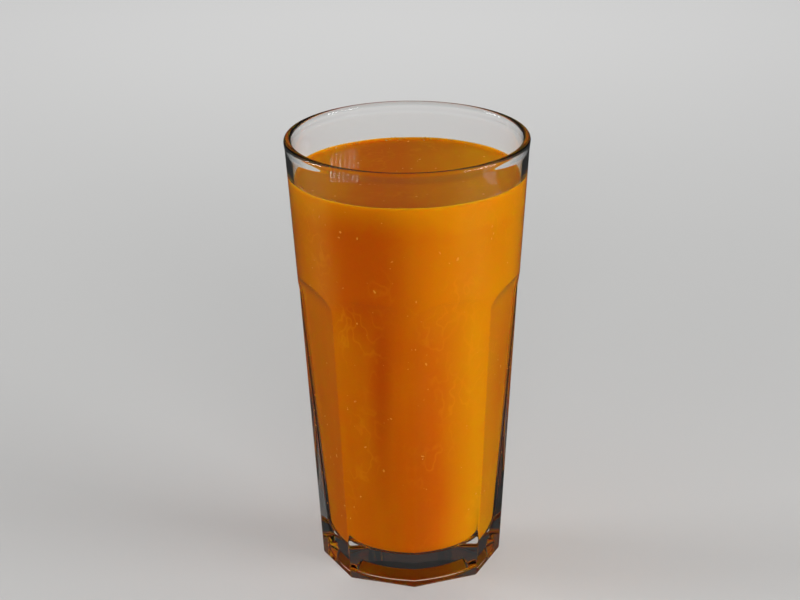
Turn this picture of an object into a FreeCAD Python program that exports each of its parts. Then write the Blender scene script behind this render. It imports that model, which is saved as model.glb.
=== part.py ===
import FreeCAD, Part
import math
import os

import Sketcher

# A tall pressed tumbler with eight flat facets, filled with mango juice.
#
# Frame: the origin is on the table at the middle of the foot, +Z runs up the axis of the glass, and
# one facet edge points towards -Y. Sizes are in millimetres, angles in degrees.

SIZES = (
    ("GlassHeight", 147.3, "foot to the top of the lip"),
    ("RimRadius", 40.0, "outside of the lip bead"),
    ("LipRadius", 1.2, "round of the lip bead"),
    ("LipBead", 0.17, "how far the bead stands out of the outer wall"),
    ("RimWall", 2.0, "wall of the even band under the lip"),
    ("BandDepth", 13.3, "how far that band reaches down from the top"),
    ("ShoulderHeight", 94.8, "where the flat facets start to run out"),
    ("ShoulderRadius", 36.1, "round wall at that height"),
    ("FacetCount", 8, "facets round the glass"),
    ("FacetDepth", 2.9, "middle of a facet inside the round wall at the shoulder"),
    ("FootApothem", 27.4, "axis to the middle of a facet at the table"),
    ("RunoutRadius", 12.0, "curve by which a facet runs out into the round wall"),
    ("HeelRadius", 1.2, "rounding of the outer edge of the foot"),
    ("RoofRadius", 14.5, "flat roof of the hollow under the foot"),
    ("RoofHeight", 2.9, "table to that roof"),
    ("SlopeRadius", 20.2, "outer end of the slope round the roof"),
    ("SlopeHeight", 0.65, "table to that end of the slope"),
    ("RingRadius", 20.9, "inner edge of the ring on which the glass stands"),
    ("FloorThickness", 8.8, "table to the inside floor"),
    ("FloorRadius", 15.3, "flat part of the inside floor"),
    ("FloorCorner", 5.6, "round between the inside floor and wall"),
    ("FillLevel", 135.3, "surface of the juice above the table"),
    ("FillClearance", 0.08, "film between the juice and the glass"),
    ("CutterOverrun", 5.0, "how far a cutting outline passes what it cuts"),
    ("BlankAllowance", 0.4, "round stock outside the facet edges at the foot"),
)
SHEET = "Sizes"
START, END, CENTRE = 1, 2, 3
ORIGIN = (-1, 1)
TABLE_AXIS, GLASS_AXIS = -1, -2
TOUCH = 1e-4

# Rules that more than one outline follows, in the sheet's own names.
RIM_WALL_RADIUS = "Sizes.RimRadius - Sizes.LipBead"
BEAD_HEIGHT = "Sizes.GlassHeight - Sizes.LipRadius"
BAND_HEIGHT = "Sizes.GlassHeight - Sizes.BandDepth"
BAND_WALL_RADIUS = (
    "Sizes.ShoulderRadius + (Sizes.RimRadius - Sizes.LipBead - Sizes.ShoulderRadius)"
    " * (Sizes.GlassHeight - Sizes.BandDepth - Sizes.ShoulderHeight)"
    " / (Sizes.GlassHeight - Sizes.LipRadius - Sizes.ShoulderHeight)")
FACET_APOTHEM = "Sizes.ShoulderRadius - Sizes.FacetDepth"
HALF_FACET = "180 deg / Sizes.FacetCount"


def fill_sheet(doc):
    """Write the driving sizes into a spreadsheet, one alias a row, and return them by alias."""
    sheet = doc.addObject("Spreadsheet::Sheet", SHEET)
    for row, (alias, value, note) in enumerate(SIZES, start=1):
        sheet.set("A%d" % row, alias)
        sheet.set("B%d" % row, str(value))
        sheet.set("C%d" % row, note)
        sheet.setAlias("B%d" % row, alias)
    doc.recompute()
    return {alias: float(getattr(sheet, alias)) for alias, _, _ in SIZES}


def origin_part(body, role):
    """Return the body's own origin plane or axis with this role."""
    return next(item for item in body.Origin.OriginFeatures if item.Role == role)


class Outline:
    """A sketch whose edges are drawn in place first and then tied to the spreadsheet."""

    def __init__(self, body, name, plane="XZ_Plane"):
        self.sketch = body.newObject("Sketcher::SketchObject", name)
        self.sketch.AttachmentSupport = [(origin_part(body, plane), "")]
        self.sketch.MapMode = "FlatFace"

    def line(self, start, end):
        """Add a straight edge and return its number."""
        start, end = FreeCAD.Vector(*start, 0), FreeCAD.Vector(*end, 0)
        return self.sketch.addGeometry(Part.LineSegment(start, end), False)

    def arc(self, centre, radius, first, last):
        """Add an arc, counter-clockwise between two angles, and return its number."""
        circle = Part.Circle(FreeCAD.Vector(*centre, 0), FreeCAD.Vector(0, 0, 1), radius)
        curve = Part.ArcOfCircle(circle, math.radians(first), math.radians(last))
        return self.sketch.addGeometry(curve, False)

    def guide(self, spot):
        """Add a point that only steers other edges and return its number."""
        return self.sketch.addGeometry(Part.Point(FreeCAD.Vector(*spot, 0)), True)

    def tie(self, kind, *args):
        """Add a constraint and return its number."""
        return self.sketch.addConstraint(Sketcher.Constraint(kind, *args))

    def drive(self, number, rule):
        """Bind a constraint to a rule on the driving sizes."""
        self.sketch.setExpression("Constraints[%d]" % number, rule)

    def place(self, edge, end, across=None, up=None):
        """Hold a point at its distance from the glass axis, from the table, or both."""
        spot = self.sketch.getPoint(edge, end)
        if across is not None:
            self.drive(self.tie("DistanceX", *ORIGIN, edge, end, spot.x), across)
        if up is not None:
            self.drive(self.tie("DistanceY", *ORIGIN, edge, end, spot.y), up)

    def curve(self, edge, radius, rule):
        """Hold the radius of an arc or circle."""
        self.drive(self.tie("Radius", edge, radius), rule)

    def join(self, *pairs):
        """Make the end of each edge meet the start of the next, given as pairs of edges."""
        for edge, following in pairs:
            self.tie("Coincident", edge, END, following, START)

    def pin(self, edge, end, axis):
        """Hold a point on the glass axis or on the table line."""
        self.tie("PointOnObject", edge, end, axis)


def band_radius(sizes):
    """Work out the outside of the round wall at the foot of the even band."""
    rise = sizes["GlassHeight"] - sizes["LipRadius"] - sizes["ShoulderHeight"]
    share = (sizes["GlassHeight"] - sizes["BandDepth"] - sizes["ShoulderHeight"]) / rise
    spread = sizes["RimRadius"] - sizes["LipBead"] - sizes["ShoulderRadius"]
    return sizes["ShoulderRadius"] + spread * share


def draw_inside(outline, sizes, top, film=0.0, film_rule=""):
    """Draw the floor, its round corner, the tapered wall and the even band of the inside.

    film is what the outline keeps clear of the glass, and film_rule the same in the sheet's names.
    top is where the last edge ends. The numbers of the first and the last edge come back.
    """
    radius = sizes["FloorCorner"]
    floor = sizes["FloorThickness"] + film
    centre = (sizes["FloorRadius"] - film, floor + radius)
    band = (band_radius(sizes) - sizes["RimWall"] - film, sizes["GlassHeight"] - sizes["BandDepth"])
    across, up = band[0] - centre[0], band[1] - centre[1]
    lean = math.atan2(across, up) - math.asin(radius / math.hypot(across, up))
    tangent = (centre[0] + radius * math.cos(lean), centre[1] - radius * math.sin(lean))

    bottom = outline.line((0, floor), (centre[0], floor))
    corner = outline.arc(centre, radius, 270, 360 - math.degrees(lean))
    wall = outline.line(tangent, band)
    even = outline.line(band, top)
    outline.pin(bottom, START, GLASS_AXIS)
    outline.tie("Tangent", bottom, END, corner, START)
    outline.tie("Tangent", corner, END, wall, START)
    outline.join((wall, even))
    outline.tie("Horizontal", bottom)
    outline.curve(corner, radius, "Sizes.FloorCorner")
    minus, plus = (" - " + film_rule, " + " + film_rule) if film_rule else ("", "")
    outline.place(bottom, END, across="Sizes.FloorRadius" + minus, up="Sizes.FloorThickness" + plus)
    outline.place(even, START, across=BAND_WALL_RADIUS + " - Sizes.RimWall" + minus, up=BAND_HEIGHT)
    return bottom, even


def draw_glass_wall(body, sizes):
    """Sketch half of the turned section: foot, outer wall, lip bead, inside and hollow."""
    lip, bead_height = sizes["LipRadius"], sizes["GlassHeight"] - sizes["LipRadius"]
    centre = (sizes["RimRadius"] - lip, bead_height)
    rim_outside = (sizes["RimRadius"] - sizes["LipBead"], bead_height)
    rim_inside = (rim_outside[0] - sizes["RimWall"], bead_height)
    walls = (rim_outside, rim_inside)
    bead_turns = [math.degrees(math.acos((spot[0] - centre[0]) / lip)) for spot in walls]
    outer_end, inner_end = [
        (spot[0], bead_height - lip * math.sin(math.radians(turn)))
        for spot, turn in zip(walls, bead_turns)]
    foot = sizes["FootApothem"] / math.cos(math.pi / sizes["FacetCount"]) + sizes["BlankAllowance"]
    shoulder = (sizes["ShoulderRadius"], sizes["ShoulderHeight"])
    roof_edge = (sizes["RoofRadius"], sizes["RoofHeight"])
    slope_end = (sizes["SlopeRadius"], sizes["SlopeHeight"])
    ring_edge = (sizes["RingRadius"], 0)

    outline = Outline(body, "WallOutline")
    bearing = outline.line(ring_edge, (foot, 0))
    skirt = outline.line((foot, 0), shoulder)
    cone = outline.line(shoulder, outer_end)
    bead = outline.arc(centre, lip, -bead_turns[0], 360 - bead_turns[1])
    bottom, even = draw_inside(outline, sizes, inner_end)
    core = outline.line((0, sizes["FloorThickness"]), (0, roof_edge[1]))
    roof = outline.line((0, roof_edge[1]), roof_edge)
    slope = outline.line(roof_edge, slope_end)
    step = outline.line(slope_end, ring_edge)
    wall_marks = [outline.guide(spot) for spot in walls]

    outline.join((bearing, skirt), (skirt, cone), (cone, bead))
    outline.tie("Coincident", bead, END, even, END)
    outline.tie("Coincident", bottom, START, core, START)
    outline.join((core, roof), (roof, slope), (slope, step), (step, bearing))
    for end in (START, END):
        outline.pin(bearing, end, TABLE_AXIS)
    outline.pin(core, END, GLASS_AXIS)
    outline.tie("Horizontal", roof)
    outline.place(roof, END, across="Sizes.RoofRadius", up="Sizes.RoofHeight")
    outline.place(slope, END, across="Sizes.SlopeRadius", up="Sizes.SlopeHeight")
    outline.place(bearing, START, across="Sizes.RingRadius")
    foot_rule = "Sizes.FootApothem / cos(%s) + Sizes.BlankAllowance" % HALF_FACET
    outline.place(bearing, END, across=foot_rule)
    outline.place(cone, START, across="Sizes.ShoulderRadius", up="Sizes.ShoulderHeight")
    outline.curve(bead, lip, "Sizes.LipRadius")
    outline.place(bead, CENTRE, across="Sizes.RimRadius - Sizes.LipRadius", up=BEAD_HEIGHT)
    for mark, edge, wall in zip(wall_marks, (cone, even), ("", " - Sizes.RimWall")):
        outline.place(mark, START, across=RIM_WALL_RADIUS + wall, up=BEAD_HEIGHT)
        outline.pin(mark, START, edge)
    return outline.sketch


def draw_facet(body, sizes):
    """Sketch what one facet takes away, in the upright plane through its middle."""
    overrun, run_out, high = sizes["CutterOverrun"], sizes["RunoutRadius"], sizes["ShoulderHeight"]
    top = (sizes["ShoulderRadius"] - sizes["FacetDepth"], high)
    lean = math.atan2(top[0] - sizes["FootApothem"], high)
    low = (sizes["FootApothem"] - overrun * math.tan(lean), -overrun)
    centre = (top[0] + run_out * math.cos(lean), high - run_out * math.sin(lean))
    ledge_start = (centre[0], centre[1] + run_out)
    outside = sizes["ShoulderRadius"] + sizes["RimRadius"]

    outline = Outline(body, "FacetOutline")
    turn = FreeCAD.Rotation(FreeCAD.Vector(0, 1, 0), 180 / sizes["FacetCount"])
    outline.sketch.AttachmentOffset = FreeCAD.Placement(FreeCAD.Vector(), turn)
    outline.sketch.setExpression("AttachmentOffset.Rotation.Angle", HALF_FACET)
    face = outline.line(low, top)
    runout = outline.arc(centre, run_out, 90, 180 - math.degrees(lean))
    ledge = outline.line(ledge_start, (outside, ledge_start[1]))
    back = outline.line((outside, ledge_start[1]), (outside, -overrun))
    under = outline.line((outside, -overrun), low)

    outline.tie("Tangent", face, END, runout, END)
    outline.tie("Tangent", runout, START, ledge, START)
    outline.join((ledge, back), (back, under), (under, face))
    outline.tie("Horizontal", ledge)
    outline.tie("Vertical", back)
    outline.tie("Horizontal", under)
    outline.curve(runout, run_out, "Sizes.RunoutRadius")
    outline.place(face, END, across=FACET_APOTHEM, up="Sizes.ShoulderHeight")
    outline.place(back, START, across="Sizes.ShoulderRadius + Sizes.RimRadius")
    outline.drive(outline.tie("DistanceY", face, START, *ORIGIN, overrun), "Sizes.CutterOverrun")
    outline.place(face, START, across="Sizes.FootApothem - Sizes.CutterOverrun * (%s - Sizes.FootApothem)"
                                      " / Sizes.ShoulderHeight" % FACET_APOTHEM)
    return outline.sketch


def revolve(body, name, sketch):
    """Turn a half section once round the axis of the glass."""
    solid = body.newObject("PartDesign::Revolution", name)
    solid.Profile = sketch
    solid.ReferenceAxis = (sketch, ["V_Axis"])
    solid.Angle = 360
    return solid


def heel_edges(shape, ring_radius):
    """Name the outer edges of the foot: those on the table outside the ring's inner edge."""
    names = []
    for number, edge in enumerate(shape.Edges, start=1):
        on_table = abs(edge.BoundBox.ZMin) < TOUCH and abs(edge.BoundBox.ZMax) < TOUCH
        outside = all(math.hypot(spot.X, spot.Y) > ring_radius + TOUCH for spot in edge.Vertexes)
        if on_table and outside:
            names.append("Edge%d" % number)
    return names


def make_glass(doc, sizes):
    """Build the tumbler: a turned wall, eight facets cut into it, and a rounded heel."""
    body = doc.addObject("PartDesign::Body", "Glass")
    body.Label = "glass"
    revolve(body, "Wall", draw_glass_wall(body, sizes))
    doc.recompute()

    facet = body.newObject("PartDesign::Pocket", "Facet")
    facet.Profile = draw_facet(body, sizes)
    facet.Midplane = True
    facet.setExpression("Length", "Sizes.ShoulderRadius * 2")
    doc.recompute()

    facets = body.newObject("PartDesign::PolarPattern", "Facets")
    facets.Originals = [facet]
    facets.Axis = (origin_part(body, "Z_Axis"), [""])
    facets.Angle = 360
    facets.setExpression("Occurrences", "Sizes.FacetCount")
    body.Tip = facets
    doc.recompute()

    heel = body.newObject("PartDesign::Fillet", "Heel")
    heel.Base = (facets, heel_edges(facets.Shape, sizes["RingRadius"]))
    heel.setExpression("Radius", "Sizes.HeelRadius")
    body.Tip = heel
    return body


def make_juice(doc, sizes):
    """Build the juice: a fill of the inside that is cut off level at the surface of the drink."""
    body = doc.addObject("PartDesign::Body", "Juice")
    body.Label = "juice"
    film, top = sizes["FillClearance"], sizes["GlassHeight"] - sizes["LipRadius"]
    rim = (sizes["RimRadius"] - sizes["LipBead"] - sizes["RimWall"] - film, top)
    outline = Outline(body, "FillOutline")
    bottom, even = draw_inside(outline, sizes, rim, film, "Sizes.FillClearance")
    lid = outline.line(rim, (0, top))
    core = outline.line((0, top), (0, sizes["FloorThickness"] + film))
    outline.join((even, lid), (lid, core), (core, bottom))
    outline.pin(core, START, GLASS_AXIS)
    outline.place(even, END, across=RIM_WALL_RADIUS + " - Sizes.RimWall - Sizes.FillClearance")
    outline.place(core, START, up=BEAD_HEIGHT)
    outline.tie("Horizontal", lid)
    fill = revolve(body, "Fill", outline.sketch)
    doc.recompute()

    surface = Outline(body, "SurfaceOutline", "XY_Plane")
    surface.sketch.setExpression("AttachmentOffset.Base.z", "Sizes.FillLevel")
    circle = Part.Circle(FreeCAD.Vector(), FreeCAD.Vector(0, 0, 1), sizes["RimRadius"])
    ring = surface.sketch.addGeometry(circle, False)
    surface.tie("Coincident", ring, CENTRE, *ORIGIN)
    surface.curve(ring, sizes["RimRadius"], "Sizes.RimRadius")
    level = body.newObject("PartDesign::Pocket", "Level")
    level.Profile = surface.sketch
    level.Reversed = True
    level.setExpression("Length", "Sizes.GlassHeight - Sizes.FillLevel")
    body.Tip = level
    doc.recompute()
    if level.Shape.Volume >= fill.Shape.Volume:
        raise RuntimeError("the surface of the juice cuts nothing off the fill")
    return body


def check(doc, bodies):
    """Stop if any object failed or any piece is not one valid solid."""
    for item in doc.Objects:
        if "Invalid" in item.State or "Error" in item.State:
            raise RuntimeError("%s: %s" % (item.Label, item.State))
    for body in bodies:
        shape = body.Shape
        if shape.isNull() or not shape.isValid() or len(shape.Solids) != 1:
            raise RuntimeError(body.Label + " is not one valid solid")


def main():
    """Build both pieces, check them and write one STEP file each."""
    doc = FreeCAD.newDocument("MangoJuice")
    sizes = fill_sheet(doc)
    bodies = [make_glass(doc, sizes), make_juice(doc, sizes)]
    doc.recompute()
    check(doc, bodies)
    os.makedirs("parts", exist_ok=True)
    for body in bodies:
        body.Shape.exportStep(os.path.join("parts", body.Label + ".step"))
        print("%s: %.2f cm3" % (body.Label, body.Shape.Volume / 1000))


main()
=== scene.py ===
"""Looks of a tall pressed tumbler with eight flat facets, filled with mango juice.

Sizes are in metres and angles in radians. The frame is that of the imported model: the origin is on the
table under the middle of the foot, +Z runs up the axis, and one facet edge points towards -Y.
"""
import logging
import math
import random
from dataclasses import dataclass
from enum import Enum
from typing import Sequence, Union

import bpy
import numpy as np
from mathutils import Matrix, Vector


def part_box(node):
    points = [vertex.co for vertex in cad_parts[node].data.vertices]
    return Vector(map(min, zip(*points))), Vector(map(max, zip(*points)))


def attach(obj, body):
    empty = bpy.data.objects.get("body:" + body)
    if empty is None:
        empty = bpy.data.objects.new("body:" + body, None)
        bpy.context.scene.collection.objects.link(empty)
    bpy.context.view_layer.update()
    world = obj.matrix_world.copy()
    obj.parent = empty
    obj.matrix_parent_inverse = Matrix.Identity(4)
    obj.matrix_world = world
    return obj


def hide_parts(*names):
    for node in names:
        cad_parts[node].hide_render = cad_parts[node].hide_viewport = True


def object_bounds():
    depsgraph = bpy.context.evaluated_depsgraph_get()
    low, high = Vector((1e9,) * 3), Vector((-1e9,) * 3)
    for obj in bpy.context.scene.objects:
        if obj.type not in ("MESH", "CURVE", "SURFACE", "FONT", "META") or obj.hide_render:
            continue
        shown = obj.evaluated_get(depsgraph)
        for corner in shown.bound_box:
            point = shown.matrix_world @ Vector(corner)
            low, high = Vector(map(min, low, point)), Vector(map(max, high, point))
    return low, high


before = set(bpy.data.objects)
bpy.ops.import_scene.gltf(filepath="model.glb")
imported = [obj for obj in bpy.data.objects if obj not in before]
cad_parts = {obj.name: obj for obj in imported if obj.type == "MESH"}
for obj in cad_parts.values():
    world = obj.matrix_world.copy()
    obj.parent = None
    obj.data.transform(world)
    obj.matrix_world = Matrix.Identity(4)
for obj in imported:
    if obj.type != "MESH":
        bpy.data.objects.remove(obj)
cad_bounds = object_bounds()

Colour = tuple[float, float, float]
Spot = tuple[float, float]
Spread = Union[float, np.ndarray]
Ring = tuple[Spread, Spread]

BODY = "root"
log = logging.getLogger("mango_juice")


# ---------------------------------------------------------------- shader building


class Sum(Enum):
    """Steps of shader arithmetic on plain values."""

    ADD = "ADD"
    SUBTRACT = "SUBTRACT"
    MULTIPLY = "MULTIPLY"
    DIVIDE = "DIVIDE"
    LEAST = "MINIMUM"
    GREATEST = "MAXIMUM"


class Signal:
    """A node's output that can stand in a Python expression."""

    def __init__(self, bench: "Bench", socket: bpy.types.NodeSocket) -> None:
        """Keep the bench that the node stands on and the socket that it gives out."""
        self.bench = bench
        self.socket = socket

    def _work(self, step: Sum, first: "Value", second: "Value") -> "Signal":
        """Add one Math node and return its result."""
        return self.bench.add("ShaderNodeMath", {"operation": step.value}, {0: first, 1: second})[0]

    def __add__(self, other: "Value") -> "Signal":
        """Return self + other."""
        return self._work(Sum.ADD, self, other)

    def __radd__(self, other: "Value") -> "Signal":
        """Return other + self."""
        return self._work(Sum.ADD, other, self)

    def __sub__(self, other: "Value") -> "Signal":
        """Return self - other."""
        return self._work(Sum.SUBTRACT, self, other)

    def __rsub__(self, other: "Value") -> "Signal":
        """Return other - self."""
        return self._work(Sum.SUBTRACT, other, self)

    def __mul__(self, other: "Value") -> "Signal":
        """Return self * other."""
        return self._work(Sum.MULTIPLY, self, other)

    def __rmul__(self, other: "Value") -> "Signal":
        """Return other * self."""
        return self._work(Sum.MULTIPLY, other, self)

    def __truediv__(self, other: "Value") -> "Signal":
        """Return self / other."""
        return self._work(Sum.DIVIDE, self, other)

    def __rtruediv__(self, other: "Value") -> "Signal":
        """Return other / self."""
        return self._work(Sum.DIVIDE, other, self)

    def clamped(self) -> "Signal":
        """Return the value held between 0 and 1."""
        return self._work(Sum.GREATEST, self._work(Sum.LEAST, self, 1.0), 0.0)

    def off(self, value: float) -> "Signal":
        """Return how far the value is from another, never below 0."""
        return self._work(Sum.GREATEST, self - value, value - self)

    def ramp(self, low: float, high: float) -> "Signal":
        """Return a value that runs from 0 at low to 1 at high and stays there."""
        return ((self - low) / (high - low)).clamped()


Value = Union[float, int, Sequence[float], Signal]


@dataclass(frozen=True)
class Grain:
    """Soft noise: lumps to the metre, shares of that along X, Y and Z, finer layers, place and limits."""

    scale: float
    stretch: Colour = (1.0, 1.0, 1.0)
    detail: float = 2.0
    shift: Colour = (0.0, 0.0, 0.0)
    low: float = 0.0
    high: float = 1.0


class Step:
    """One node on the bench; its outputs are read by name or number."""

    def __init__(self, bench: "Bench", node: bpy.types.Node) -> None:
        """Keep the bench and the node."""
        self.bench = bench
        self.node = node

    def __getitem__(self, output: Union[int, str]) -> Signal:
        """Return one output of the node."""
        return Signal(self.bench, self.node.outputs[output])


class Bench:
    """A node tree under construction."""

    def __init__(self, tree: bpy.types.NodeTree) -> None:
        """Clear the tree and start on it.

        Args:
            tree: the node tree of a material or of the world.
        """
        self.tree = tree
        self.tree.nodes.clear()

    def add(self, kind: str, settings: dict[str, object] | None = None,
            values: dict[Union[int, str], Value] | None = None) -> Step:
        """Add a node.

        Args:
            kind: the node's type.
            settings: the node's own settings, which are made first.
            values: a number, a colour or a signal for each input that isn't left alone.

        Returns:
            The node as a step.
        """
        node = self.tree.nodes.new(kind)
        for name, setting in (settings or {}).items():
            setattr(node, name, setting)
        for name, value in (values or {}).items():
            socket = node.inputs[name]
            if isinstance(value, Signal):
                self.tree.links.new(value.socket, socket)
            elif socket.type == "RGBA":
                socket.default_value = (*value, 1.0)
            else:
                socket.default_value = value
        return Step(self, node)

    def blend(self, share: Value, first: Value, second: Value) -> Signal:
        """Return a colour that goes from first to second as share goes from 0 to 1."""
        return self.add("ShaderNodeMix", {"data_type": "RGBA"}, {0: share, 6: first, 7: second})[2]

    def grain(self, kind: Grain) -> Signal:
        """Return soft noise fixed to the piece.

        Args:
            kind: what the noise is like.

        Returns:
            A value about 0.5 that goes from 0 to 1.
        """
        place = self.add("ShaderNodeTexCoord")["Object"]
        laid = self.add("ShaderNodeMapping", None, {
            "Vector": place, "Scale": kind.stretch, "Location": kind.shift})
        noise = self.add("ShaderNodeTexNoise", None, {
            "Vector": laid["Vector"], "Scale": kind.scale, "Detail": kind.detail})
        return noise["Fac"]

    def patches(self, kind: Grain) -> Signal:
        """Return the noise as patches: 0 below its lower limit and 1 above its upper one."""
        return self.grain(kind).ramp(kind.low, kind.high)

    def height(self) -> Signal:
        """Return the height above the table."""
        place = self.add("ShaderNodeTexCoord")["Object"]
        return self.add("ShaderNodeSeparateXYZ", None, {0: place})["Z"]

    def across(self) -> Signal:
        """Return the place along X."""
        place = self.add("ShaderNodeTexCoord")["Object"]
        return self.add("ShaderNodeSeparateXYZ", None, {0: place})["X"]

    def relief(self, height: Signal, depth: float) -> Signal:
        """Return a normal that shows a relief of this depth in metres."""
        return self.add("ShaderNodeBump", None, {"Height": height, "Distance": depth})["Normal"]

    def finish(self, surface: Signal, kind: str = "ShaderNodeOutputMaterial") -> None:
        """Send a shader to the output."""
        self.add(kind, None, {"Surface": surface})


def new_material(name: str) -> tuple[bpy.types.Material, Bench]:
    """Return an empty material and the bench on which it is built."""
    material = bpy.data.materials.new(name)
    material.use_nodes = True
    return material, Bench(material.node_tree)


# ---------------------------------------------------------------- finishes


@dataclass(frozen=True)
class ClearGlass:
    """Clear fire-polished pressed glass with the faint ripple that the mould leaves."""

    tint: Colour = (0.985, 0.993, 0.988)
    bend: float = 1.52
    lamp_share: Colour = (0.95, 0.955, 0.95)
    ripple: Grain = Grain(70.0, detail=1.0)
    ripple_depth: float = 0.000015

    def material(self) -> bpy.types.Material:
        """Build the glass. A lamp's rays go through unbent, so that the drink is lit evenly."""
        material, bench = new_material("clear_glass")
        ripple = bench.relief(bench.grain(self.ripple), self.ripple_depth)
        glass = bench.add("ShaderNodeBsdfPrincipled", None, {
            "Base Color": self.tint, "Roughness": 0.0, "IOR": self.bend,
            "Transmission Weight": 1.0, "Normal": ripple})
        lamp = bench.add("ShaderNodeLightPath")["Is Shadow Ray"]
        through = bench.add("ShaderNodeBsdfTransparent", None, {"Color": self.lamp_share})
        bench.finish(bench.add("ShaderNodeMixShader", None, {0: lamp, 1: glass[0], 2: through[0]})[0])
        return material


@dataclass(frozen=True)
class PaintedSideLight:
    """Painted light: gold that sets in towards one side, as where a lamp lights the juice; where it starts
    and is full, and how strong it is, a negative strength painting shade.
    """

    start: float
    full: float
    share: float

    def of(self, place: Signal) -> Signal:
        """Return the share of painted light, as gold, at a place."""
        return place.ramp(self.start, self.full) * self.share


@dataclass(frozen=True)
class MangoJuice:
    """Opaque golden juice, thick with fine pulp, that light enters a few millimetres deep."""

    level: float
    gold: Colour = (0.690, 0.262, 0.0004)
    deep: Colour = (0.605, 0.120, 0.0002)
    # the colour that the painted shade darkens towards
    dark: Colour = (0.520, 0.078, 0.0002)
    wisp: Colour = (0.860, 0.330, 0.0080)
    edge: Colour = (0.520, 0.220, 0.0020)
    scatter: Colour = (1.0, 0.42, 0.08)
    scatter_depth: float = 0.0055
    glass_bend: float = 1.52
    juice_bend: float = 1.35
    wall_roughness: float = 0.6
    wet_roughness: float = 0.015
    wet_gloss: float = 0.5
    # painted light: the side turns golden just under the open surface, where light from above falls in
    lit_depth: float = 0.0110
    lit_end: float = 0.0010
    lit_gold: float = 0.75
    least_gold: float = 0.02
    # painted light across the side: golden towards the lit sides, less so at the far right edge, set apart
    # below and above the shoulder
    low_right: PaintedSideLight = PaintedSideLight(0.0055, 0.0195, 0.92)
    low_rim: PaintedSideLight = PaintedSideLight(0.0195, 0.0270, -0.35)
    low_left: PaintedSideLight = PaintedSideLight(0.0080, 0.0220, 0.40)
    high_right: PaintedSideLight = PaintedSideLight(-0.0100, 0.0240, 0.78)
    high_left: PaintedSideLight = PaintedSideLight(0.0190, 0.0300, 0.50)
    shoulder_start: float = 0.086
    shoulder_end: float = 0.098
    # painted shade: a dark streak behind the facets and a broad shade above the shoulder
    streak_place: float = -0.0098
    streak_core: float = 0.0006
    streak_width: float = 0.0042
    shade_place: float = -0.0140
    shade_core: float = 0.0020
    shade_width: float = 0.0150
    shade_tone: float = 0.45
    shade_foot: float = 0.020
    shade_full: float = 0.070
    wander_reach: float = 0.006
    streak_gold: float = 1.4
    # painted light on the open surface: deep in the middle, golden towards the sides
    deep_place: float = -0.0060
    deep_reach: float = 0.0040
    gold_reach: float = 0.0260
    surface_gold: float = 1.05
    surface_streak_gold: float = 0.9
    surface_loss: float = 0.06
    surface_shade: float = 0.1
    dark_share: float = 0.85
    thread_sharpness: float = 18.0
    thread_share: float = 0.26
    haze_share: float = 0.14
    fines_share: float = 0.06
    edge_height: float = 0.0011
    edge_share: float = 0.7
    relief_depth: float = 0.00012
    relief_pulp: float = 0.06
    wander: Grain = Grain(24.0, (1.0, 1.0, 0.8), 2.0, (6.0, 2.0, 4.0))
    streaks: Grain = Grain(42.0, (1.0, 1.0, 0.16), 3.0, (1.3, 0.4, 0.0))
    threads: Grain = Grain(230.0, (1.0, 1.0, 0.7), 1.0, (3.0, 1.0, 7.0))
    patches: Grain = Grain(60.0, (1.0, 1.0, 0.6), 2.0, (9.0, 4.0, 2.0), 0.50, 0.66)
    haze: Grain = Grain(30.0, (1.0, 1.0, 0.5), 3.0, (5.0, 2.0, 3.0), 0.50, 0.75)
    fines: Grain = Grain(1300.0, detail=3.0, low=0.3, high=0.8)
    swell: Grain = Grain(55.0, detail=1.0, shift=(2.0, 5.0, 1.0))
    pulp: Grain = Grain(900.0, detail=2.0, shift=(4.0, 2.0, 8.0))

    def _top_light_mask(self, bench: Bench) -> Signal:
        """Return the mask of the painted light from above: 1 just below the open surface."""
        return bench.height().ramp(self.level - self.lit_depth, self.level - self.lit_end)

    def _upper(self, bench: Bench) -> Signal:
        """Return 1 above the shoulder, where the wall is round, and 0 below it behind the facets."""
        return bench.height().ramp(self.shoulder_start, self.shoulder_end)

    def _wall_gold_with_painted_light(self, bench: Bench) -> Signal:
        """Return how golden the side is, mostly painted light: most to the right, where the lamps light
        it, and just under the surface, where light from above falls; soft streaks add random tone.
        """
        across = bench.across()
        left = across * -1.0
        low = self.low_right.of(across) + self.low_rim.of(across) + self.low_left.of(left)
        high = self.high_right.of(across) + self.high_left.of(left)
        streaks = (bench.grain(self.streaks) - 0.5) * self.streak_gold
        # painted light from above, golden just under the surface
        lit = self._top_light_mask(bench) * self.lit_gold
        return low + (high - low) * self._upper(bench) + streaks + lit + self.least_gold

    def _wall_painted_shade(self, bench: Bench) -> Signal:
        """Return how much painted shade darkens the side: a dark streak behind the facets and a broad
        shade above them, fading out just under the surface and towards the foot.
        """
        upper = self._upper(bench)
        middle = bench.across() + (bench.grain(self.wander) - 0.5) * self.wander_reach
        streak = 1.0 - middle.off(self.streak_place).ramp(self.streak_core, self.streak_width)
        shade = 1.0 - middle.off(self.shade_place).ramp(self.shade_core, self.shade_width)
        fade = (1.0 - self._top_light_mask(bench)) * bench.height().ramp(self.shade_foot, self.shade_full)
        return (streak * (1.0 - upper) + shade * upper * self.shade_tone) * fade

    def _surface_gold_with_painted_light(self, bench: Bench) -> Signal:
        """Return how golden the open surface is, as painted light: deep in the middle and golden towards
        its sides, where the lamps light it; soft streaks add random tone.
        """
        aside = bench.across().off(self.deep_place).ramp(self.deep_reach, self.gold_reach)
        streaks = (bench.grain(self.streaks) - 0.5) * self.surface_streak_gold
        return aside * self.surface_gold + streaks - self.surface_loss

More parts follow.
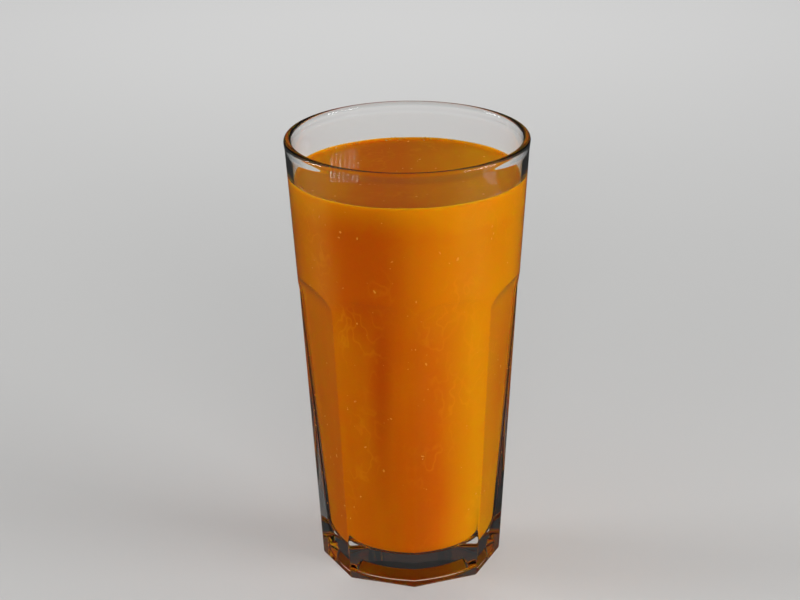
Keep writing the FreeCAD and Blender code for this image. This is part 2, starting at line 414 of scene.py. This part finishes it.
    def _colour(self, bench: Bench, gilt: Signal, shade: Signal) -> Signal:
        """Return the colour with its painted light and shade, its wisps, its grain and the rim where juice
        climbs the glass.

        Args:
            bench: the material's bench.
            gilt: how golden the juice is, from deep orange at 0 to gold at 1, painted light included.
            shade: how dark it is, from 0 to 1: painted shade on the side, random darker tone on the open
                surface.

        Returns:
            The colour.
        """
        threads = 1.0 - bench.grain(self.threads).off(0.5) * self.thread_sharpness
        threads = threads.clamped() * bench.patches(self.patches)
        wisps = threads * self.thread_share + bench.patches(self.haze) * self.haze_share
        climb = bench.height().ramp(self.level - self.edge_height, self.level)
        body = bench.blend(gilt.clamped(), self.deep, self.gold)
        # painted shade on the side; random darker tone on the open surface
        body = bench.blend(shade * self.dark_share, body, self.dark)
        body = bench.blend(wisps, body, self.wisp)
        body = bench.blend(bench.patches(self.fines) * self.fines_share, body, self.wisp)
        return bench.blend(climb * self.edge_share, body, self.edge)

    def _body(self, bench: Bench, colour: Signal, roughness: float, gloss: float,
              normal: Signal | None = None) -> Signal:
        """Return the juice's own shader, with a normal where its skin is free."""
        values: dict[Union[int, str], Value] = {
            "Base Color": colour, "Roughness": roughness, "IOR": self.juice_bend,
            "Specular IOR Level": gloss, "Subsurface Weight": 1.0,
            "Subsurface Radius": self.scatter, "Subsurface Scale": self.scatter_depth}
        if normal is not None:
            values["Normal"] = normal
        return bench.add("ShaderNodeBsdfPrincipled", None, values)[0]

    def against_glass(self) -> bpy.types.Material:
        """Build the side that wets the glass: seen flat along, it mirrors as a weaker medium does."""
        material, bench = new_material("juice_against_glass")
        mirror = bench.add("ShaderNodeBsdfAnisotropic", None, {"Color": (1.0, 1.0, 1.0), "Roughness": 0.0})
        slant = bench.add("ShaderNodeFresnel", None, {"IOR": self.juice_bend / self.glass_bend})["Fac"]
        # painted light and shade: golden where the lamps light the side, a dark streak and shade where
        # they don't
        colour = self._colour(bench, self._wall_gold_with_painted_light(bench), self._wall_painted_shade(bench))
        body = self._body(bench, colour, self.wall_roughness, 0.0)
        bench.finish(bench.add("ShaderNodeMixShader", None, {0: slant, 1: body, 2: mirror[0]})[0])
        return material

    def free_surface(self) -> bpy.types.Material:
        """Build the open surface: wet gloss over a skin that pulp makes slightly uneven."""
        material, bench = new_material("juice_free_surface")
        swell = bench.grain(self.swell) * (1.0 - self.relief_pulp)
        relief = swell + bench.grain(self.pulp) * self.relief_pulp
        shade = bench.grain(self.wander) * self.surface_shade
        # painted light: golden towards the sides of the open surface
        colour = self._colour(bench, self._surface_gold_with_painted_light(bench), shade)
        normal = bench.relief(relief, self.relief_depth)
        bench.finish(self._body(bench, colour, self.wet_roughness, self.wet_gloss, normal))
        return material


@dataclass(frozen=True)
class FruitPulp:
    """Small pale shreds of fruit."""

    pale: Colour = (0.860, 0.370, 0.025)
    warm: Colour = (0.800, 0.300, 0.012)
    mottle: Grain = Grain(160.0, detail=3.0, low=0.35, high=0.65)
    roughness: float = 0.45
    soft_share: float = 0.6
    scatter: Colour = (1.0, 0.6, 0.2)
    scatter_depth: float = 0.0004

    def material(self) -> bpy.types.Material:
        """Build the pulp."""
        material, bench = new_material("fruit_pulp")
        colour = bench.blend(bench.patches(self.mottle), self.pale, self.warm)
        pulp = bench.add("ShaderNodeBsdfPrincipled", None, {
            "Base Color": colour, "Roughness": self.roughness, "Subsurface Weight": self.soft_share,
            "Subsurface Radius": self.scatter, "Subsurface Scale": self.scatter_depth})
        bench.finish(pulp[0])
        return material


@dataclass(frozen=True)
class BubbleFilm:
    """Thin wet film of a bubble that juice clings to."""

    clear: Colour = (0.940, 0.700, 0.180)
    thick: Colour = (0.800, 0.460, 0.040)
    mottle: Grain = Grain(700.0, detail=2.0, low=0.4, high=0.6)
    roughness: float = 0.04
    bend: float = 1.33
    clear_share: float = 0.55

    def material(self) -> bpy.types.Material:
        """Build the film."""
        material, bench = new_material("bubble_film")
        colour = bench.blend(bench.patches(self.mottle), self.clear, self.thick)
        film = bench.add("ShaderNodeBsdfPrincipled", None, {
            "Base Color": colour, "Roughness": self.roughness, "IOR": self.bend,
            "Transmission Weight": self.clear_share})
        bench.finish(film[0])
        return material


@dataclass(frozen=True)
class PaleFloor:
    """Plain pale floor that fades into the background far from the glass."""

    pale: float = 0.66
    bounced: float = 0.75
    mirrored: float = 0.03
    glow: float = 0.57
    fade_start: float = 0.30
    fade_end: float = 0.85
    mottle: Grain = Grain(9.0, detail=2.0)
    mottle_depth: float = 0.02
    warmth: float = 0.99
    roughness: float = 0.6
    gloss: float = 0.15

    def material(self) -> bpy.types.Material:
        """Build the floor. It is pale to the eye and through glass, and dimmer in reflections."""
        material, bench = new_material("pale_floor")
        path = bench.add("ShaderNodeLightPath")
        mirrored = path["Glossy Depth"].clamped()
        seen = (path["Is Camera Ray"] + path["Is Transmission Ray"]).clamped() * (1.0 - mirrored)
        tone = self.pale + path["Is Diffuse Ray"] * (self.bounced - self.pale) - mirrored * (
            self.pale - self.mirrored)
        tone = tone * (bench.grain(self.mottle) * self.mottle_depth + (1.0 - self.mottle_depth / 2))
        colour = bench.add("ShaderNodeCombineColor", None, {0: tone, 1: tone, 2: tone * self.warmth})
        ground = bench.add("ShaderNodeBsdfPrincipled", None, {
            "Base Color": colour["Color"], "Roughness": self.roughness, "Specular IOR Level": self.gloss})
        place = bench.add("ShaderNodeTexCoord")["Object"]
        far = bench.add("ShaderNodeVectorMath", {"operation": "LENGTH"}, {0: place})["Value"]
        glow = bench.add("ShaderNodeEmission", None, {"Color": (self.glow,) * 3, "Strength": 1.0})
        share = far.ramp(self.fade_start, self.fade_end) * seen
        bench.finish(bench.add("ShaderNodeMixShader", None, {0: share, 1: ground[0], 2: glow[0]})[0])
        return material


# ---------------------------------------------------------------- mesh building


def make_piece(name: str, corners: Sequence[Sequence[float]], faces: Sequence[Sequence[int]],
               materials: Sequence[bpy.types.Material], parts: Sequence[int] | None = None
               ) -> bpy.types.Object:
    """Make a smooth mesh object.

    Args:
        name: the piece's name.
        corners: its vertices.
        faces: its faces, counter-clockwise seen from outside.
        materials: its materials.
        parts: which material each face has, where there are several.

    Returns:
        The object, linked to the scene.
    """
    mesh = bpy.data.meshes.new(name)
    mesh.from_pydata([tuple(corner) for corner in corners], [], [tuple(face) for face in faces])
    for material in materials:
        mesh.materials.append(material)
    if parts is not None:
        mesh.polygons.foreach_set("material_index", list(parts))
    mesh.polygons.foreach_set("use_smooth", [True] * len(mesh.polygons))
    mesh.update()
    piece = bpy.data.objects.new(name, mesh)
    bpy.context.scene.collection.objects.link(piece)
    return piece


def polar(radius: float, angle: float, height: float) -> Vector:
    """Return the point at this radius and height, the angle counted from -Y towards +X."""
    return Vector((radius * math.sin(angle), -radius * math.cos(angle), height))


def skin(angles: np.ndarray, rings: Sequence[Ring]) -> tuple[np.ndarray, list[tuple[int, ...]]]:
    """Join rings about the axis into a closed skin with a point at each end.

    Args:
        angles: the directions of a ring's vertices.
        rings: the radius and height of each ring, each one number or one for every direction.

    Returns:
        The vertices and the faces.
    """
    count = len(angles)
    layers = []
    for radius, height in rings:
        across = np.broadcast_to(radius, count)
        layers.append(np.column_stack((across * np.sin(angles), -across * np.cos(angles),
                                       np.broadcast_to(height, count))))
    ends = [(0.0, 0.0, float(np.mean(rings[place][1]))) for place in (0, -1)]
    corners = np.vstack((*layers, ends))
    faces: list[tuple[int, ...]] = []
    last = (len(rings) - 1) * count
    start_end, stop_end = len(corners) - 2, len(corners) - 1
    for side in range(count):
        beside = (side + 1) % count
        faces.append((start_end, beside, side))
        for base in range(0, last, count):
            faces.append((base + side, base + beside, base + count + beside, base + count + side))
        faces.append((stop_end, last + side, last + beside))
    return corners, faces


def softened(corners: Sequence[Spot], rounding: float, steps: int = 5) -> list[Spot]:
    """Round the inner corners of an outline.

    Args:
        corners: the outline's corners.
        rounding: how far before and after a corner its curve starts and ends.
        steps: how many edges a curve has.

    Returns:
        The points of the rounded outline.
    """
    points: list[Spot] = [corners[0]]
    for before, corner, after in zip(corners, corners[1:], corners[2:]):
        middle = Vector(corner)
        reach = [min(rounding, (Vector(side) - middle).length / 2) for side in (before, after)]
        ends = [middle + (Vector(side) - middle).normalized() * part
                for side, part in zip((before, after), reach)]
        for step in range(steps + 1):
            t = step / steps
            spot = ends[0] * (1 - t) ** 2 + middle * (2 * t * (1 - t)) + ends[1] * t ** 2
            points.append((spot.x, spot.y))
    points.append(corners[-1])
    return points


def divided(start: Spot, end: Spot, count: int) -> list[Spot]:
    """Return the points that divide a straight run, without its start and with its end."""
    return [(start[0] + (end[0] - start[0]) * step / count, start[1] + (end[1] - start[1]) * step / count)
            for step in range(1, count + 1)]


def scattered(name: str, spots: Sequence[Matrix], material: bpy.types.Material,
              rings: int = 6) -> bpy.types.Object:
    """Make one joined mesh of small round bodies.

    Args:
        name: the piece's name.
        spots: the place, turn and size of each body, as what it does to a ball of radius 1.
        material: their material.
        rings: how many rings a ball has.

    Returns:
        The object.
    """
    ball_angles = np.linspace(0.0, 2 * math.pi, rings * 2, endpoint=False)
    turns = [math.pi * step / rings for step in range(1, rings)]
    ball, ball_faces = skin(ball_angles, [(math.sin(turn), -math.cos(turn)) for turn in turns])
    ball[-2, 2], ball[-1, 2] = -1.0, 1.0
    corners: list[Vector] = []
    faces: list[tuple[int, ...]] = []
    for spot in spots:
        base = len(corners)
        corners.extend(spot @ Vector(corner) for corner in ball)
        faces.extend(tuple(base + number for number in face) for face in ball_faces)
    return make_piece(name, corners, faces, [material])


# ---------------------------------------------------------------- the tumbler


@dataclass(frozen=True)
class Tumbler:
    """The glass: a turned wall with eight flat facets, a beaded lip and a thick foot."""

    height: float
    rim_radius: float
    lip_radius: float = 0.0012
    lip_bead: float = 0.00017
    lip_swell: float = 0.0030
    rim_wall: float = 0.0020
    band_depth: float = 0.0133
    shoulder_height: float = 0.0948
    shoulder_radius: float = 0.0361
    facet_count: int = 8
    facet_depth: float = 0.0029
    foot_apothem: float = 0.0274
    runout_radius: float = 0.0120
    heel_radius: float = 0.0012
    roof_radius: float = 0.0145
    roof_height: float = 0.0029
    slope_radius: float = 0.0202
    slope_height: float = 0.00065
    ring_radius: float = 0.0209
    floor_thickness: float = 0.0088
    floor_radius: float = 0.0153
    floor_corner: float = 0.0056
    blank_allowance: float = 0.0004
    edge_softness: float = 0.00012
    fold_softness: float = 0.0005
    columns_per_facet: int = 26
    bunching: float = 0.8
    ring_gap: float = 0.0005
    dense_below: float = 0.0035
    dense_above: float = 0.0125
    low_rings: int = 30
    dense_rings: int = 64
    high_rings: int = 14
    swell_rings: int = 12
    lip_steps: int = 19
    band_rings: int = 8
    heel_steps: int = 8
    corner_steps: int = 14
    floor_rings: int = 6
    wall_rings: int = 24
    roof_start: float = 0.0020
    seat_start: float = 0.0012

    @property
    def lean(self) -> float:
        """How much wider the upper wall gets for each metre of height."""
        rise = self.height - self.lip_radius - self.shoulder_height
        return (self.rim_radius - self.lip_bead - self.shoulder_radius) / rise

    @property
    def band(self) -> Spot:
        """Radius and height of the foot of the even band inside."""
        height = self.height - self.band_depth
        return self.round_wall(height) - self.rim_wall, height

    def angles(self) -> np.ndarray:
        """Return the directions of the columns, closer together beside the facet edges."""
        facet = 2 * math.pi / self.facet_count
        even = np.arange(self.columns_per_facet) / self.columns_per_facet
        across = self.bunching * (0.5 - 0.5 * np.cos(math.pi * even)) + (1 - self.bunching) * even
        return np.concatenate([(number + across) * facet for number in range(self.facet_count)])

    def round_wall(self, height: float) -> float:
        """Return the radius of the round wall before the facets are cut."""
        if height >= self.shoulder_height:
            return self.shoulder_radius + self.lean * (height - self.shoulder_height)
        foot = self.foot_apothem / math.cos(math.pi / self.facet_count) + self.blank_allowance
        return foot + (self.shoulder_radius - foot) * height / self.shoulder_height

    def facet(self, height: float) -> float:
        """Return the distance from the axis to the middle of a facet, far off above its run-out."""
        top = self.shoulder_radius - self.facet_depth
        slope = (top - self.foot_apothem) / self.shoulder_height
        if height <= self.shoulder_height:
            return self.foot_apothem + slope * height
        tilt = math.atan(slope)
        centre = top + self.runout_radius * math.cos(tilt)
        rise = height - self.shoulder_height + self.runout_radius * math.sin(tilt)
        if rise >= self.runout_radius:
            return 1.0
        return centre - math.sqrt(self.runout_radius ** 2 - rise ** 2)

    def outside(self, angles: np.ndarray, height: float) -> np.ndarray:
        """Return the outer radius in each direction: the least of wall and facets, edges softened."""
        facet = 2 * math.pi / self.facet_count
        from_middle = np.mod(angles, facet) - facet / 2
        flat = self.facet(height)
        walls = np.stack([np.full_like(angles, self.round_wall(height))]
                         + [flat / np.cos(from_middle + turn) for turn in (-facet, 0.0, facet)])
        least = walls.min(axis=0)
        share = np.exp((least - walls) / self.edge_softness).sum(axis=0)
        return least - self.edge_softness * np.log(share)

    def inside(self) -> list[Spot]:
        """Return the outline of the inside from the middle of the floor to the foot of the band."""
        centre = (self.floor_radius, self.floor_thickness + self.floor_corner)
        across, up = self.band[0] - centre[0], self.band[1] - centre[1]
        tilt = math.atan2(across, up) - math.asin(self.floor_corner / math.hypot(across, up))
        turns = np.linspace(0.0, math.pi / 2 - tilt, self.corner_steps + 1)
        corner = [(centre[0] + self.floor_corner * math.sin(turn),
                   centre[1] - self.floor_corner * math.cos(turn)) for turn in turns]
        points = divided((0.0, self.floor_thickness), corner[0], self.floor_rings)
        points += corner[1:]
        return points + divided(corner[-1], self.band, self.wall_rings)

    def inner_radius(self, height: float) -> float:
        """Return the radius of the inside at a height above its round floor corner."""
        if height >= self.band[1]:
            return self.band[0] + self.lean * (height - self.band[1])
        outline = self.inside()
        return float(np.interp(height, [spot[1] for spot in outline], [spot[0] for spot in outline]))

    def _foot_rings(self, angles: np.ndarray) -> list[Ring]:
        """Return the rings of the hollow, the standing ring and the round heel."""
        hollow = softened([(self.roof_start, self.roof_height), (self.roof_radius, self.roof_height),
                           (self.slope_radius, self.slope_height), (self.ring_radius, 0.0),
                           (self.ring_radius + self.seat_start, 0.0)], self.fold_softness)
        start = hollow[-1][0]
        heel_start = self.outside(angles, 0.0) - self.heel_radius
        rings: list[Ring] = list(hollow)
        rings += [(start + (heel_start - start) * share, 0.0) for share in (0.25, 0.5, 0.75, 1.0)]
        for turn in np.linspace(0.0, math.pi / 2, self.heel_steps + 1)[1:]:
            height = self.heel_radius * (1 - math.cos(turn))
            rings.append((self.outside(angles, height) - self.heel_radius * (1 - math.sin(turn)), height))
        return rings

    @property
    def _lip_start(self) -> float:
        """Height at which the wall starts to swell into the lip."""
        return self.height - self.lip_radius - self.lip_swell

    def _wall_heights(self) -> np.ndarray:
        """Return the heights of the outer rings, closest where the facets run out."""
        dense = self.shoulder_height - self.dense_below, self.shoulder_height + self.dense_above
        return np.concatenate((
            np.linspace(self.heel_radius + 2 * self.ring_gap, dense[0] - self.ring_gap, self.low_rings),
            np.linspace(*dense, self.dense_rings),
            np.linspace(dense[1] + 3 * self.ring_gap, self._lip_start - self.ring_gap, self.high_rings)))

    def _lip(self) -> list[Ring]:
        """Return the rings of the lip, which swells out of the wall on both sides and is round on top."""
        centre = (self.rim_radius - self.lip_radius, self.height - self.lip_radius)
        inward = self.inner_radius(centre[1]) - (centre[0] - self.lip_radius)
        rings: list[Ring] = []
        back: list[Ring] = []
        for share in np.linspace(0.0, 1.0, self.swell_rings):
            height = centre[1] - self.lip_swell * (1 - share)
            swell = share ** 2 * (3 - 2 * share)
            rings.append((self.round_wall(height) + self.lip_bead * swell, height))
            back.append((self.inner_radius(height) - inward * swell, height))
        for turn in np.linspace(0.0, math.pi, self.lip_steps + 1)[1:-1]:
            rings.append((centre[0] + self.lip_radius * math.cos(turn),
                          centre[1] + self.lip_radius * math.sin(turn)))
        return rings + list(reversed(back))

    def build(self, finish: ClearGlass) -> bpy.types.Object:
        """Build the glass from under its foot over the lip to its inside floor."""
        angles = self.angles()
        rings = self._foot_rings(angles)
        rings += [(self.outside(angles, height), height) for height in self._wall_heights()]
        rings += self._lip()
        start = self._lip_start
        rings += divided((self.inner_radius(start), start), self.band, self.band_rings)
        rings += list(reversed(self.inside()[:-1]))
        corners, faces = skin(angles, rings)
        piece = make_piece("tumbler", corners, faces, [finish.material()])
        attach(piece, BODY)
        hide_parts("glass")
        return piece


# ---------------------------------------------------------------- the drink


@dataclass(frozen=True)
class Drink:
    """The juice, which reaches a hair into the glass and climbs a little at its edge."""

    tumbler: Tumbler
    contact: float
    into_wall: float = 0.00015
    climb: float = 0.0010
    climb_reach: float = 0.0012
    waver: float = 0.00010
    waves: tuple[tuple[float, int, float], ...] = ((0.6, 3, 0.7), (0.4, 11, 2.1))
    inward: tuple[float, ...] = (0.0, 0.00015, 0.0003, 0.0005, 0.0008, 0.0012, 0.0017, 0.0024, 0.0034,
                                 0.005, 0.008, 0.013, 0.019, 0.026, 0.032)
    top_gap: float = 0.0005

    @property
    def level(self) -> float:
        """Height of the open surface away from the glass."""
        return self.contact - self.climb

    def contact_height(self, angles: np.ndarray) -> np.ndarray:
        """Return the uneven height at which the juice meets the glass, as a sum of a few waves."""
        waves = sum(share * np.sin(count * angles + phase) for share, count, phase in self.waves)
        return self.contact + self.waver * (waves - 1)

    def surface_height(self, from_wall: float) -> float:
        """Return the height of the open surface at a distance from the glass."""
        return self.level + self.climb * math.exp(-from_wall / self.climb_reach)

    def _side_rings(self) -> list[Ring]:
        """Return the rings of the bottom and the side, moved a hair into the glass."""
        outline = self.tumbler.inside()
        rings: list[Ring] = []
        ahead = outline[1:] + [(self.tumbler.inner_radius(self.level), self.level)]
        for spot, following in zip(outline, ahead):
            run = Vector(following) - Vector(spot)
            out = Vector((run.y, -run.x)).normalized() * self.into_wall
            if spot[1] < self.level - 2 * self.top_gap:
                rings.append((spot[0] + out.x, spot[1] + out.y))
        below = self.level - self.top_gap
        rings.append((self.tumbler.inner_radius(below) + self.into_wall, below))
        return rings

    def build(self, finish: MangoJuice) -> bpy.types.Object:
        """Build the juice as one closed skin: its side against the glass and its open surface."""
        angles = self.tumbler.angles()
        rings = self._side_rings()
        side_rings = len(rings)
        wall = self.tumbler.inner_radius(self.contact)
        edge = self.contact_height(angles)
        for inward in (-self.into_wall, *self.inward):
            share = math.exp(-max(inward, 0.0) / self.climb_reach)
            rings.append((wall - inward, self.level + (edge - self.level) * share))
        corners, faces = skin(angles, rings)
        column = [0] + [int(band >= side_rings) for band in range(len(rings) - 1)] + [1]
        parts = column * len(angles)
        piece = make_piece("mango_juice", corners, faces,
                           [finish.against_glass(), finish.free_surface()], parts)
        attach(piece, BODY)
        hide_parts("juice")
        return piece


@dataclass(frozen=True)
class Pulp:
    """Shreds of fruit that show against the glass and float on the surface."""

    drink: Drink
    shreds: int = 230
    floating: int = 40
    smallest: float = 0.00010
    largest: float = 0.00038
    low_bias: float = 0.9
    small_bias: float = 2.2
    edge_bias: float = 1.6
    thickness: float = 0.5
    shown: float = 0.1
    sunk: float = 0.2
    edge_gap: float = 0.0015
    seed: int = 41

    def _turned(self, place: Vector, outward: Vector, sizes: Colour, spin: float) -> Matrix:
        """Return what lays a ball of radius 1 flat against a wall with these half sizes."""
        facing = outward.to_track_quat("Z", "Y").to_matrix().to_4x4()
        shape = Matrix.Rotation(spin, 4, "Z") @ Matrix.Diagonal((*sizes, 1.0))
        return Matrix.Translation(place) @ facing @ shape

    def build(self, finish: FruitPulp) -> bpy.types.Object:
        """Build the shreds as one mesh."""
        draw = random.Random(self.seed)
        tumbler = self.drink.tumbler
        floor = tumbler.floor_thickness + tumbler.floor_corner
        span = self.largest - self.smallest
        spots = []
        for _ in range(self.shreds):
            angle = draw.uniform(0.0, 2 * math.pi)
            height = floor + (self.drink.level - floor) * draw.random() ** self.low_bias
            size = self.smallest + span * draw.random() ** self.small_bias
            radius = tumbler.inner_radius(height) + self.drink.into_wall + self.shown * size
            sizes = (size * draw.uniform(0.8, 2.2), size * draw.uniform(0.6, 1.1), size * self.thickness)
            spots.append(self._turned(polar(radius, angle, height), polar(1.0, angle, 0.0), sizes,
                                      draw.uniform(0, math.pi)))
        wall = tumbler.inner_radius(self.drink.level)
        for _ in range(self.floating):
            from_wall = self.edge_gap + (wall - 2 * self.edge_gap) * draw.random() ** self.edge_bias
            size = self.smallest + span * draw.random()
            place = polar(wall - from_wall, draw.uniform(0.0, 2 * math.pi),
                          self.drink.surface_height(from_wall) - self.sunk * size)
            sizes = (size * draw.uniform(0.9, 1.8), size, size * self.thickness)
            spots.append(self._turned(place, Vector((0.0, 0.0, 1.0)), sizes, draw.uniform(0, math.pi)))
        piece = scattered("fruit_pulp", spots, finish.material())
        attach(piece, BODY)
        return piece


@dataclass(frozen=True)
class EdgeBubbles:
    """Tiny bubbles that gather where the surface meets the glass."""

    drink: Drink
    clusters: int = 60
    seed: int = 12
    smallest: float = 0.00006
    largest: float = 0.00026
    most: int = 6
    about_back: float = 1.1
    about_cluster: float = 0.035
    reach: float = 0.0012
    stand_off: float = 0.8
    proud: float = 0.25

    def build(self, finish: BubbleFilm) -> bpy.types.Object:
        """Build the bubbles as one mesh."""
        draw = random.Random(self.seed)
        wall = self.drink.tumbler.inner_radius(self.drink.contact)
        spots = []
        for _ in range(self.clusters):
            centre = draw.gauss(math.pi, self.about_back)
            for _ in range(draw.randint(1, self.most)):
                size = self.smallest + (self.largest - self.smallest) * draw.random() ** 2
                from_wall = size * self.stand_off + draw.random() ** 2 * self.reach
                angle = centre + draw.gauss(0.0, self.about_cluster)
                height = self.drink.surface_height(from_wall) + self.proud * size
                place = polar(wall - from_wall, angle, height)
                spots.append(Matrix.Translation(place) @ Matrix.Scale(size, 4))
        piece = scattered("edge_bubbles", spots, finish.material(), rings=8)
        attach(piece, BODY)
        return piece


# ---------------------------------------------------------------- the studio


class Seen(Enum):
    """Where a lamp's own face can be seen."""

    NOWHERE = "nowhere"
    MIRRORED = "mirrored"
    THROUGH_GLASS = "through glass"


@dataclass(frozen=True)
class Softbox:
    """A soft rectangular lamp aimed at the glass; bearing is counted from -Y towards +X."""

    name: str
    bearing: float
    rise: float
    distance: float
    width: float
    height: float
    power: float
    slats: int = 1
    seen: Seen = Seen.MIRRORED
    slat_share: float = 0.4

    def place(self, target: Vector) -> None:
        """Hang the lamp, or its slats side by side with gaps between them, and aim it."""
        bearing, rise = math.radians(self.bearing), math.radians(self.rise)
        away = polar(self.distance * math.cos(rise), bearing, self.distance * math.sin(rise))
        turn = (-away).to_track_quat("-Z", "Y")
        pitch = self.width / max(1, self.slats - 0.5)
        for number in range(self.slats):
            name = f"{self.name}_{number + 1}"
            lamp = bpy.data.lights.new(name, "AREA")
            lamp.shape = "RECTANGLE"
            lamp.size = self.width if self.slats == 1 else pitch * self.slat_share
            lamp.size_y = self.height
            lamp.energy = self.power / self.slats
            holder = bpy.data.objects.new(name, lamp)
            aside = pitch * (number - (self.slats - 1) / 2)
            holder.location = target + away + turn @ Vector((aside, 0.0, 0.0))
            holder.rotation_euler = turn.to_euler()
            holder.visible_camera = False
            holder.visible_glossy = self.seen is Seen.MIRRORED
            holder.visible_transmission = self.seen is Seen.THROUGH_GLASS
            bpy.context.scene.collection.objects.link(holder)


@dataclass(frozen=True)
class Studio:
    """Pale floor, soft lamps and a plain surround."""

    floor_reach: float = 7.0
    pale: float = 0.57
    upper: float = 0.06
    mirrored: float = 0.035
    fill: float = 0.31
    horizon: float = 0.02
    overhead: float = 0.30
    floor_gap: float = 0.0001
    lamps: tuple[Softbox, ...] = (
        Softbox("window_right", 68.0, 18.0, 1.05, 0.62, 0.44, 5.2, slats=7),
        Softbox("window_left", -98.0, 16.0, 1.00, 0.34, 0.40, 2.9, slats=4),
        Softbox("stripes_right", 68.0, 18.0, 1.05, 0.62, 0.44, 1.2, slats=7, seen=Seen.THROUGH_GLASS),
        Softbox("stripes_left", -98.0, 16.0, 1.00, 0.34, 0.40, 0.6, slats=4, seen=Seen.THROUGH_GLASS),
        Softbox("edge_left", -118.0, 16.0, 1.05, 0.03, 0.40, 0.07, seen=Seen.THROUGH_GLASS),
        Softbox("edge_right", 118.0, 16.0, 1.05, 0.03, 0.40, 0.07, seen=Seen.THROUGH_GLASS),
        Softbox("front_fill", 5.0, 16.0, 1.05, 0.60, 0.30, 4.6, seen=Seen.NOWHERE),
        Softbox("back_fill", 178.0, 15.0, 1.05, 0.60, 0.30, 3.8, seen=Seen.NOWHERE),
    )

    def _surround(self) -> None:
        """Light the world: pale behind the glass, dimmer in reflections and high up."""
        world = bpy.data.worlds.new("surround")
        world.use_nodes = True
        bench = Bench(world.node_tree)
        path = bench.add("ShaderNodeLightPath")
        direction = bench.add("ShaderNodeTexCoord")["Generated"]
        up = bench.add("ShaderNodeSeparateXYZ", None, {0: direction})["Z"]
        mirrored = path["Glossy Depth"].clamped()
        seen, through = path["Is Camera Ray"], path["Is Transmission Ray"] * (1.0 - mirrored)
        glossy = path["Is Glossy Ray"] * mirrored
        plain = (1.0 - seen) * (1.0 - through) * (1.0 - glossy)
        backdrop = self.pale - up.ramp(self.horizon, self.overhead) * (self.pale - self.upper)
        level = seen * self.pale + through * backdrop + glossy * self.mirrored + plain * self.fill
        light = bench.add("ShaderNodeBackground", None, {"Color": (1.0, 1.0, 1.0), "Strength": level})
        bench.finish(light[0], "ShaderNodeOutputWorld")
        bpy.context.scene.world = world

    def build(self, finish: PaleFloor, target: Vector) -> None:
        """Lay the floor, hang the lamps and set the surround."""
        reach = self.floor_reach
        floor = make_piece("floor", [(-reach, -reach, 0.0), (reach, -reach, 0.0), (reach, reach, 0.0),
                                     (-reach, reach, 0.0)], [(0, 1, 2, 3)], [finish.material()])
        floor.location.z = cad_bounds[0][2] - self.floor_gap
        for lamp in self.lamps:
            lamp.place(target)
        self._surround()
        bpy.context.scene.view_settings.view_transform = "Standard"


@dataclass(frozen=True)
class Viewpoint:
    """The camera: in front and a little above, with a long lens."""

    away: float = 1.0
    above: float = 0.4607
    around: float = 0.0302
    pitch: float = 0.3544
    yaw: float = -0.0029
    roll: float = -0.0119
    lens: float = 145.7
    sensor: float = 36.0
    nearest: float = 0.01

    def place(self) -> None:
        """Set up the camera and make it the scene's own."""
        camera = bpy.data.cameras.new("viewpoint")
        camera.sensor_width, camera.lens = self.sensor, self.lens
        camera.clip_start = self.nearest
        holder = bpy.data.objects.new("viewpoint", camera)
        turn = Matrix.Rotation(-self.around, 4, "Z")
        place = Matrix.Translation(turn @ Vector((0.0, -self.away, self.above)))
        aim = (Matrix.Rotation(-self.around - self.yaw, 4, "Z")
               @ Matrix.Rotation(math.pi / 2 - self.pitch, 4, "X") @ Matrix.Rotation(self.roll, 4, "Z"))
        holder.matrix_world = place @ aim
        bpy.context.scene.collection.objects.link(holder)
        bpy.context.scene.camera = holder


def report(piece: bpy.types.Object) -> None:
    """Log what a piece holds."""
    faces = sum(len(face.vertices) - 2 for face in piece.data.polygons)
    log.info("%s: %d triangles", piece.name, faces)


def main() -> None:
    """Build every piece in order and log each one."""
    logging.basicConfig(level=logging.INFO, format="%(message)s")
    glass_box, juice_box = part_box("glass"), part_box("juice")
    Viewpoint().place()
    tumbler = Tumbler(height=glass_box[1].z, rim_radius=max(glass_box[1].x, glass_box[1].y))
    drink = Drink(tumbler, juice_box[1].z)
    report(tumbler.build(ClearGlass()))
    report(drink.build(MangoJuice(drink.contact)))
    report(Pulp(drink).build(FruitPulp()))
    report(EdgeBubbles(drink).build(BubbleFilm()))
    Studio().build(PaleFloor(), Vector((0.0, 0.0, tumbler.height / 2)))


if __name__ == "__main__":
    main()
